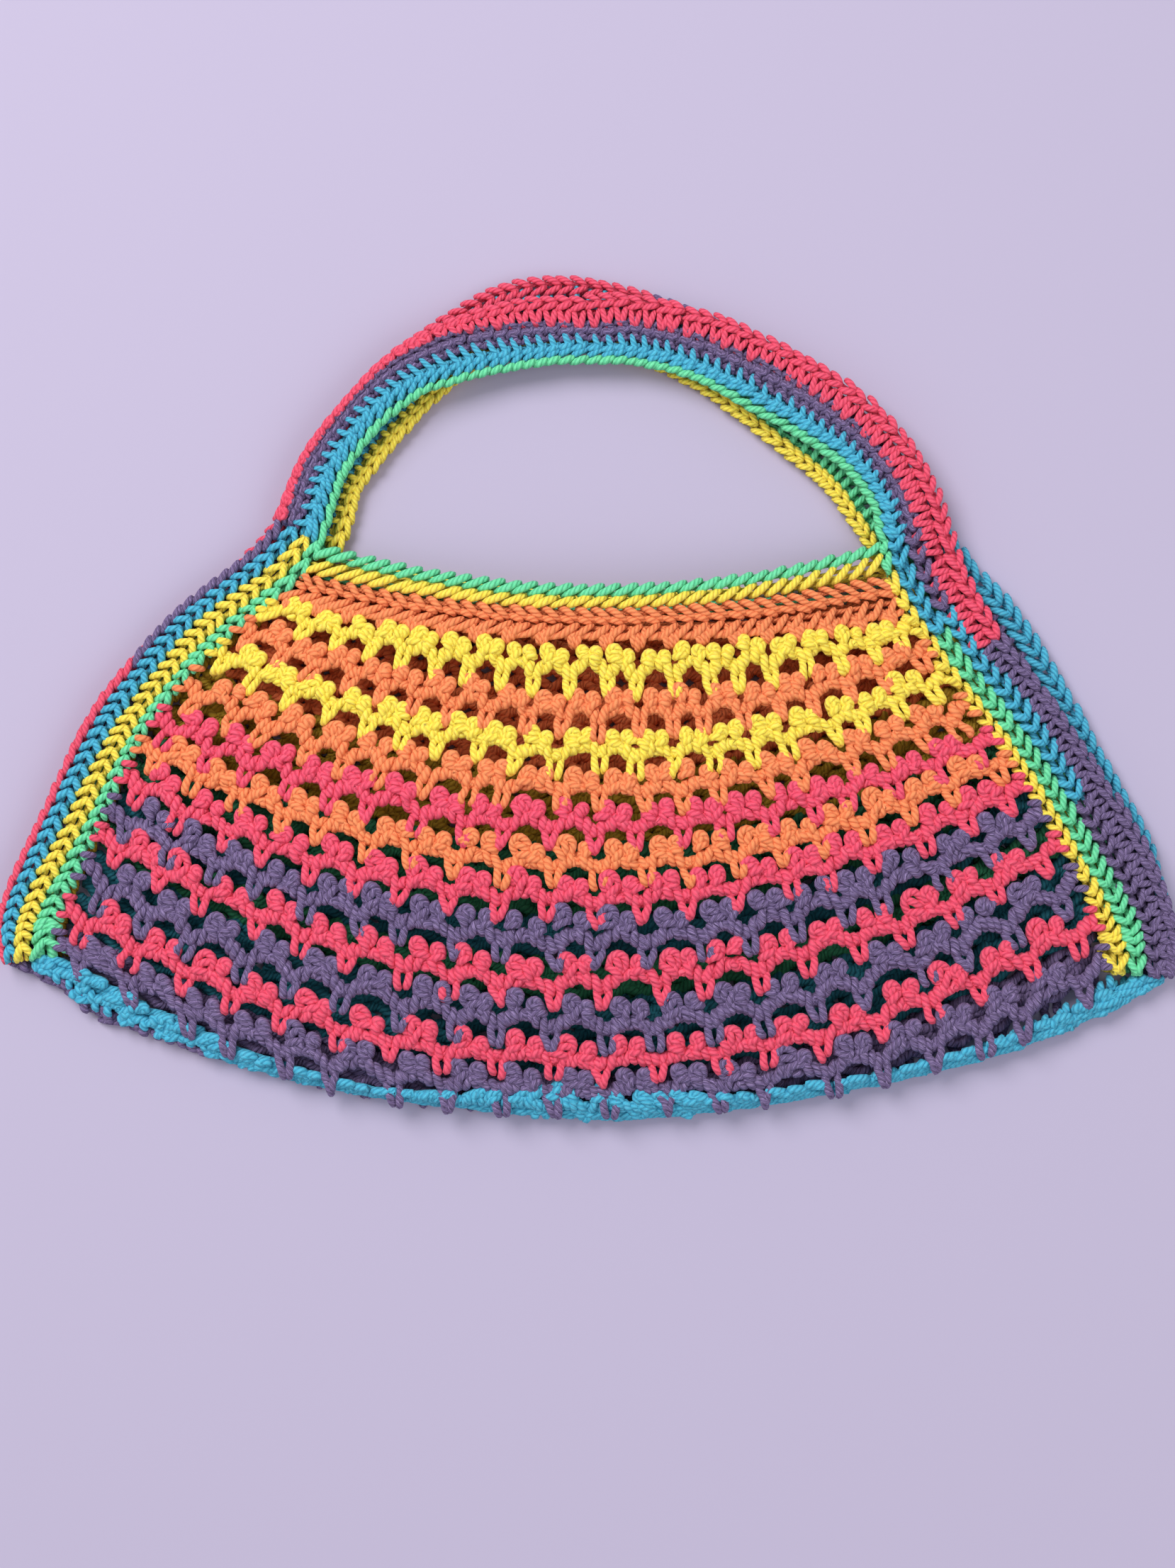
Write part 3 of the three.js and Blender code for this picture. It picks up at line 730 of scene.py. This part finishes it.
BRAID = [
    [(-0.62, 0.05, 2.9), (-0.25, 0.22, 4.6), (0.2, 0.6, 4.7), (0.55, 0.85, 3.2)],
    [(-0.1, 0.05, 2.6), (0.15, 0.12, 3.8), (0.45, 0.2, 3.6), (0.6, 0.36, 2.6)],
]
COUNTER_BRAID = [
    [(-0.66, 0.92, 2.9), (-0.28, 0.8, 4.6), (0.16, 0.46, 4.8), (0.6, 0.16, 3.2)],
    [(-0.5, 0.3, 2.8), (-0.2, 0.2, 4.0), (0.1, 0.12, 4.0), (0.3, 0.0, 2.8)],
]

# The upper face of the back strap, which shows in the window and beside the front strap
FACE_CHAIN = [
    [(-0.62, 0.0, 1.9), (-0.2, 0.1, 0.4), (0.25, 0.3, 0.3), (0.6, 0.5, 1.6)],
    [(-0.62, 1.0, 1.9), (-0.2, 0.88, 0.4), (0.25, 0.68, 0.3), (0.6, 0.5, 1.6)],
]
FACE_TEETH = [
    [(0.1, -0.1, 1.9), (0.05, 0.3, 0.4), (-0.05, 0.75, 0.4), (-0.12, 1.2, 1.9)],
]

# The plain strands inside every close row, as shares of the pitch and of the width. Then their height, and
# the most that their radius may be, in millimetres
FILL = [[(-0.6, 0.3), (0.6, 0.3)], [(-0.6, 0.7), (0.6, 0.7)]]
FILLING = {"front": (2.0, 3.0), "mouth": (2.0, 3.0), "back": (3.0, 1.2)}
FILL_WIDTH = 0.24  # their radius as a share of the row's width
FILL_SIDES = 5
# Rings and sides of the strands of a close row
CLOSE_DETAIL = {"front": (6, 6), "back": (5, 5)}


def tapered(rings):
    """The share of the full thickness at each ring of a strand."""
    return np.sin(np.linspace(0.2, 0.82, rings) * np.pi) ** 0.6


def close_row(yarn, place, starts, pitch, low, high, colours, shapes, thick, detail, filling, lean=0.0):
    """A row of close stitches. place maps (along, across, height), with across in millimetres from low to
    high, and starts is where each stitch is."""
    rings, sides = detail
    fill_height, fill_limit = filling
    width = (high - low)[:, None]
    jitter = rng.normal(0, 1, (len(starts), 4))
    taper = tapered(rings)
    for shape in shapes:
        x, y, z, *size = np.array(shape, float).T
        x = starts[:, None] + pitch * (x + lean * (y - 0.3) + jitter[:, 0:1] * 0.05)
        y = low[:, None] + width * (y + jitter[:, 1:2] * 0.035)
        z = z + jitter[:, 2:3] * 0.16
        paths = smooth(np.stack([x, y, z], axis=-1), rings)
        shares = taper
        if size:
            shares = np.interp(np.linspace(0, 1, rings), np.linspace(0, 1, len(shape)), size[0])
        by_colour(yarn, place(paths), thick * (1 + 0.05 * jitter[:, 3:4]) * shares, colours, sides)
    taper = tapered(2)
    for shape in FILL:
        x, y = np.array(shape, float).T
        x = starts[:, None] + pitch * (x + lean * (y - 0.3))
        y = low[:, None] + width * y
        paths = np.stack([x, y, np.full_like(x, fill_height)], axis=-1)
        radius = np.minimum(width * FILL_WIDTH, fill_limit)
        by_colour(yarn, place(paths), radius * taper, colours, FILL_SIDES)


def by_colour(yarn, paths, radii, colours, sides):
    """Adds strands that don't all have the same colour."""
    colours = np.array(colours)
    radii = np.broadcast_to(radii, paths.shape[:2])
    for colour in dict.fromkeys(colours.tolist()):
        chosen = colours == colour
        yarn.add(paths[chosen], radii[chosen], colour, sides)


# Where the rows of the strap lie. Shares of the width from the inner edge, at shares of each stretch's
# length from its left end, and the colours of each row with the share where each ends
STRAP_ROWS = {
    ("front", "left"): {
        "names": ("mint", "yellow", "turquoise", "purple"),
        "edges": [
            (0, 0, 0.55, 0.79, 0.95, 1), (0.085, 0, 0.38, 0.66, 0.91, 1), (0.32, 0, 0.22, 0.57, 0.88, 1),
            (0.51, 0, 0.17, 0.51, 0.85, 1), (0.65, 0, 0.18, 0.51, 0.84, 1), (0.76, 0, 0.23, 0.58, 0.87, 1),
            (0.885, 0, 0.24, 0.58, 0.84, 1), (1, 0, 0.18, 0.47, 0.78, 1),
        ],
        "colours": ([(1, "mint")], [(1, "yellow")], [(1, "turquoise")], [(0.62, "pink"), (1, "purple")]),
    },
    ("front", "handle"): {
        "names": ("mint", "turquoise", "purple", "pink"),
        "edges": [
            (0, 0, 0.17, 0.54, 0.88, 1), (0.075, 0, 0.2, 0.57, 0.92, 1), (0.155, 0, 0.21, 0.64, 0.94, 1),
            (0.23, 0, 0.16, 0.55, 0.92, 1), (0.3, 0, 0.12, 0.46, 0.84, 1), (0.38, 0, 0.1, 0.37, 0.72, 1),
            (0.47, 0, 0.12, 0.36, 0.63, 1), (0.55, 0, 0.1, 0.34, 0.67, 1), (0.63, 0, 0.11, 0.34, 0.69, 1),
            (0.71, 0, 0.14, 0.37, 0.73, 1), (0.8, 0, 0.14, 0.34, 0.68, 1), (0.87, 0, 0.14, 0.33, 0.64, 1),
            (0.94, 0, 0.13, 0.32, 0.61, 1), (1, 0, 0.1, 0.34, 0.61, 1),
        ],
        "colours": ([(1, "mint")], [(1, "turquoise")], [(1, "purple")], [(1, "pink")]),
    },
    ("front", "right"): {
        "names": ("yellow", "mint", "turquoise", "purple"),
        "edges": [
            (0, 0, 0.1, 0.34, 0.61, 1), (0.04, 0, 0.11, 0.37, 0.62, 1), (0.2, 0, 0.16, 0.41, 0.62, 1),
            (0.36, 0, 0.17, 0.41, 0.73, 1), (0.54, 0, 0.17, 0.41, 0.71, 1), (0.72, 0, 0.16, 0.42, 0.69, 1),
            (0.9, 0, 0.26, 0.54, 0.78, 1), (1, 0, 0.33, 0.58, 0.83, 1),
        ],
        "colours": (
            [(0.05, "mint"), (1, "yellow")],
            [(0.19, "turquoise"), (1, "mint")],
            [(0.17, "purple"), (0.6, "turquoise"), (1, "purple")],
            [(0.25, "pink"), (1, "purple")],
        ),
    },
    ("back", "left"): {
        "names": ("yellow", "mint", "purple", "turquoise"),
        "edges": [(0, 0, 0.22, 0.5, 0.75, 1), (1, 0, 0.22, 0.5, 0.75, 1)],
        # The first row's colour is painted shade: a darker yellow for the shade under the front strap
        "colours": ([(1, "shaded_yellow")], [(1, "mint")], [(1, "purple")], [(1, "pink")]),
    },
    ("back", "handle"): {
        "names": ("yellow", "mint", "purple", "pink"),
        "edges": [(0, 0, 0.17, 0.27, 0.72, 1), (0.5, 0, 0.17, 0.28, 0.75, 1), (1, 0, 0.15, 0.46, 0.73, 1)],
        "colours": (
            [(1, "yellow")],
            [(0.42, "yellow"), (1, "mint")],
            [(1, "turquoise")],
            [(0.56, "pink"), (1, "purple")],
        ),
    },
    ("back", "right"): {
        "names": ("yellow", "mint", "purple", "turquoise"),
        "edges": [(0, 0, 0.2, 0.5, 0.75, 1), (1, 0, 0.22, 0.5, 0.75, 1)],
        "colours": ([(1, "yellow")], [(1, "mint")], [(1, "purple")], [(1, "turquoise")]),
    },
}
# The spacing of the stitches in each stretch, and of those along the mouth, in millimetres
PITCHES = {"left": 5.2, "handle": 5.2, "right": 5.8}
MOUTH_PITCH = 5.8
BACK_SHAPES = (CHAIN + FACE_CHAIN, BRAID + FACE_TEETH, BRAID + FACE_TEETH, BRAID + FACE_CHAIN)


def strap_shapes(side, stretch, k):
    """The strands of the stitches in row k of a stretch of the strap, counted from its inner edge."""
    if side == "back":
        return BACK_SHAPES[k]
    if stretch == "handle":
        return (TWIST, SPIKES, KNOBS, TEETH + PLAIT)[k]
    if k == 3:
        return TWIST if stretch == "left" else TEETH + PLAIT
    return LEAVES


def colour_at(spans, share):
    return next(colour for end, colour in spans if share <= end)


def add_strap(side, strap):
    spans = {
        "left": (0, strap.left_corner),
        "handle": (strap.left_corner, strap.right_corner),
        "right": (strap.right_corner, 1),
    }
    for stretch, (first, last) in spans.items():
        rows = STRAP_ROWS[side, stretch]
        edges = np.array(rows["edges"])
        length = (last - first) * strap.length
        count = round(length / PITCHES[stretch])
        share = (np.arange(count) + 0.5) / count
        widths = strap.width(first + share * (last - first))

        def place(local):
            along = np.clip(first + local[..., 0] / strap.length, 0, 1)
            return strap.place(along, local[..., 1] / strap.width(along), local[..., 2])

        for k, name in enumerate(rows["names"]):
            low = np.interp(share, edges[:, 0], edges[:, 1 + k]) * widths
            high = np.interp(share, edges[:, 0], edges[:, 2 + k]) * widths
            colours = [colour_at(rows["colours"][k], s) for s in share]
            thick = YARN * (1.04 if stretch == "handle" else 1.12)
            yarn = Yarn()
            close_row(
                yarn, place, share * length, length / count, low, high, colours,
                strap_shapes(side, stretch, k), thick, CLOSE_DETAIL[side], FILLING[side], lean=0.05,
            )
            yarn.piece(f"{side}_{stretch}_{name}", f"{name}_yarn")


END_SIDES = 7


def add_ends(yarn, panel, row, colour):
    """The ends of a row, wrapped round the inner edge of the bands."""
    for side, across in ((-1, 0.004), (1, 0.996)):
        for up in (0.3, 0.8):
            start = panel.place(np.array([row + up]), np.array([across]), np.array([4.4]))[0]
            reach = 3.4 + rng.normal(0, 0.3)
            path = start + np.outer([-0.3, 0.2, 0.7, 1.0], [side * reach, 0.1 * reach, 0])
            path[:, 2] += [-1.2, 1.2, 1.1, -1.4]
            radii = YARN * np.array([0.8, 1, 1.1, 1.1, 1.05, 0.95, 0.8])
            yarn.add(smooth(path[None], len(radii)), radii, colour, END_SIDES)


def add_panel(side, panel):
    front = side == "front"
    for row, colour in enumerate(FRONT_COLOURS if front else BACK_COLOURS):
        yarn = Yarn()

        def point(up, across, height):
            return panel.place(row + up, across, height)

        band = Band(point, COLUMNS, 0.0 if front else BACK_SHIFT)
        net_row(yarn, band, colour, side, drop=FIRST_LEG_DROP if front and row == 0 else LEG_DROP)
        if front:
            add_ends(yarn, panel, row, colour)
        else:
            fill_row(yarn, band, colour)
        yarn.piece(f"{side}_row_{row + 1:02d}", f"{SLOTS.get(colour, colour)}_yarn")


def add_mouth(side, panel):
    """The rows along the mouth: two of orange in one piece, then yellow, then the mint edge."""
    front = side == "front"
    orange, yellow, mint, top = range(NET_ROWS, len(ROW_LINES))
    half = orange + 0.5
    # On the back the orange rows take a darker copy of orange: painted shade
    pieces = (
        ("orange", [(orange, half, BRAID), (half, yellow, COUNTER_BRAID)], "orange" if front else "shaded_orange"),
        ("yellow", [(yellow, mint, CHAIN)], "yellow" if front else "mint"),
        ("mint", [(mint, top, CHAIN)], "mint" if front else "yellow"),
    )
    for name, rows, colour in pieces:
        yarn = Yarn()
        for low, high, shapes in rows:
            length = panel.row_length((low + high) / 2)
            count = round(length / MOUTH_PITCH)
            pitch = length / count
            starts = (np.arange(count) + 0.5) * pitch
            flat = np.zeros(1)
            foot, head = (panel.place(flat + row, flat + 0.5, flat) for row in (low, high))
            tall = np.linalg.norm(head - foot)

            def place(local):
                row = low + local[..., 1] / tall * (high - low)
                return panel.place(row, np.clip(local[..., 0] / length, 0, 1), local[..., 2])

            close_row(
                yarn, place, starts, pitch, np.zeros(count), np.full(count, tall), [colour] * count,
                shapes, YARN * 1.16, CLOSE_DETAIL[side], FILLING["mouth"],
            )
        if name == "orange":
            over = Band(lambda up, across, height: panel.place(orange + up, across, height), COLUMNS)
            grips(yarn, over, colour)
        yarn.piece(f"{side}_mouth_{name}", f"{name}_yarn")


BASE_INSET = 2.2  # the strands' middles lie this far inside the outline, in millimetres
BASE_COLUMNS = 25
BASE_PITCH = 4.4  # millimetres between the lumps
LUMP_SIDES = 6
BASE_CROTCH = 2.6
BASE_DROP = 0.4
OPEN_CORNER = 0.19  # up to this share the back's first row shows below the foundation row
# Lines of lumps: share of the way in from the fold, height in millimetres, and slope
BASE_LINES = (
    (0.8, 6.4, 0.5), (0.3, 6.0, -0.5), (0.1, 4.4, -0.4), (0.14, 2.2, 0.5), (0.5, 1.6, 0.4), (0.55, 4.2, 0.2),
)
OUTER_LINES = 0.2  # the lines further out than this take the back's colour in the corner


def add_base(strap, panel):
    """The foundation row, from the fold up to the first row of the front."""
    fold = [(across * BAG_WIDTH / 2, up * SHOULDER_HEIGHT) for across, up in FOLD]
    curve = catmull_rom([strap.edge[0], *fold, strap.edge[-1]], FOLD_STEPS)
    shares = lengths_along(curve) / lengths_along(curve)[-1]
    curve = curve + BASE_INSET * unit(panel.place(0 * shares, shares, 0 * shares)[:, :2] - curve)
    length = lengths_along(curve)[-1]
    yarn = Yarn()

    def point(up, across, height):
        foot = panel.place(0 * across, across, 0 * across)[..., :2]
        outer = table(across, shares, curve)
        flat = outer + (foot - outer) * up[..., None]
        return np.concatenate([flat, height[..., None]], axis=-1)

    def raised(up, across, height):
        up = up + 0.2 * (1 - up) * np.clip(1.3 - across / OPEN_CORNER, 0, 1)
        climb = 1.0 + 4.2 * np.clip(up, 0, 1) + 1.4 * np.clip(up, 0, 1) * 4 * across * (1 - across)
        return point(up, across, height + climb)

    net_row(yarn, Band(raised, BASE_COLUMNS), "turquoise", "front", crotch=BASE_CROTCH, drop=BASE_DROP)
    count = round(length / BASE_PITCH)
    radii = YARN * np.array([0.85, 1.08, 1.2, 1.2, 1.08, 0.85])
    for out, height, slope in BASE_LINES:
        starts = (np.arange(count) + rng.random()) / count
        jitter = rng.normal(0, 1, (count, 3))
        x = starts[:, None] + BASE_PITCH / length * np.array([-0.75, -0.3, 0.3, 0.75])
        y = out + slope * np.array([-0.5, -0.25, 0.25, 0.5]) * 0.5 + jitter[:, :1] * 0.06
        z = height + np.array([-0.9, 0.5, 0.6, -0.8]) + jitter[:, 1:2] * 0.35
        path = smooth(np.stack([np.clip(x, 0.001, 0.999), y, z], axis=-1), len(radii))
        paths = point(path[..., 1], path[..., 0], path[..., 2])
        corner = (starts < OPEN_CORNER) & (out < OUTER_LINES)
        by_colour(yarn, paths, radii, np.where(corner, "purple", "turquoise"), LUMP_SIDES)
    yarn.piece("base_row", "turquoise_yarn")


def build():
    for side in ("back", "front"):
        strap = Strap(side)
        panel = Panel(side, strap)
        add_panel(side, panel)
        add_mouth(side, panel)
        add_strap(side, strap)
    add_base(strap, panel)


# Stage, light and camera
FLOOR_COLOUR = (184, 174, 200)
FLOOR_SIZE = 6
PIXELS_PER_MM = 4.0
PHOTO_WIDTH = 1658
PHOTO_HEIGHT = 2212
PHOTO_MIDDLE = (829, 1584)  # the pixel over the fold's lowest point
CAMERA_HEIGHT = 0.9
CAMERA_TILT = 3  # degrees off straight down
AIM_HEIGHT = 0.01
# Place, diameter and power of each light, in metres and watts
LIGHTS = {"window": ((-0.9, 0.9, 1.5), 1.2, 30), "fill": ((1.2, -0.6, 1.4), 1.6, 9)}
ROOM_COLOUR = (0.95, 0.97, 1, 1)
ROOM_LIGHT = 0.55


def add_stage():
    bpy.ops.mesh.primitive_plane_add(size=FLOOR_SIZE, location=(0, 0, 0))
    floor = bpy.context.object
    floor.name = "floor"
    material = bpy.data.materials.new("floor")
    material.use_nodes = True
    shader = material.node_tree.nodes["Principled BSDF"]
    shader.inputs["Base Color"].default_value = linear(FLOOR_COLOUR)
    shader.inputs["Roughness"].default_value = 0.9
    floor.data.materials.append(material)


def add_lights():
    for name, (place, size, power) in LIGHTS.items():
        data = bpy.data.lights.new(name, "AREA")
        data.shape = "DISK"
        data.size = size
        data.energy = power
        light = bpy.data.objects.new(name, data)
        light.location = place
        light.rotation_euler = (-Vector(place)).to_track_quat("-Z", "Y").to_euler()
        bpy.context.scene.collection.objects.link(light)
    world = bpy.data.worlds.new("room")
    world.use_nodes = True
    background = world.node_tree.nodes["Background"]
    background.inputs["Color"].default_value = ROOM_COLOUR
    background.inputs["Strength"].default_value = ROOM_LIGHT
    bpy.context.scene.world = world
    bpy.context.scene.view_settings.view_transform = "Standard"


def add_camera():
    """The camera over the middle of the photo, a little tilted, with the photo's frame."""
    x = (PHOTO_WIDTH / 2 - PHOTO_MIDDLE[0]) / PIXELS_PER_MM * MM
    y = ((PHOTO_MIDDLE[1] - PHOTO_HEIGHT / 2) / PIXELS_PER_MM - MIDDLE[1]) * MM
    tilt = math.radians(CAMERA_TILT)
    data = bpy.data.cameras.new("camera")
    data.sensor_fit = "VERTICAL"
    data.angle = 2 * math.atan(PHOTO_HEIGHT / PIXELS_PER_MM * MM / 2 / CAMERA_HEIGHT)
    data.clip_start = 0.01
    camera = bpy.data.objects.new("camera", data)
    camera.location = (x, y - math.sin(tilt) * CAMERA_HEIGHT, AIM_HEIGHT + math.cos(tilt) * CAMERA_HEIGHT)
    camera.rotation_euler = (tilt, 0, 0)
    bpy.context.scene.collection.objects.link(camera)
    bpy.context.scene.camera = camera


build()
add_stage()
add_lights()
add_camera()
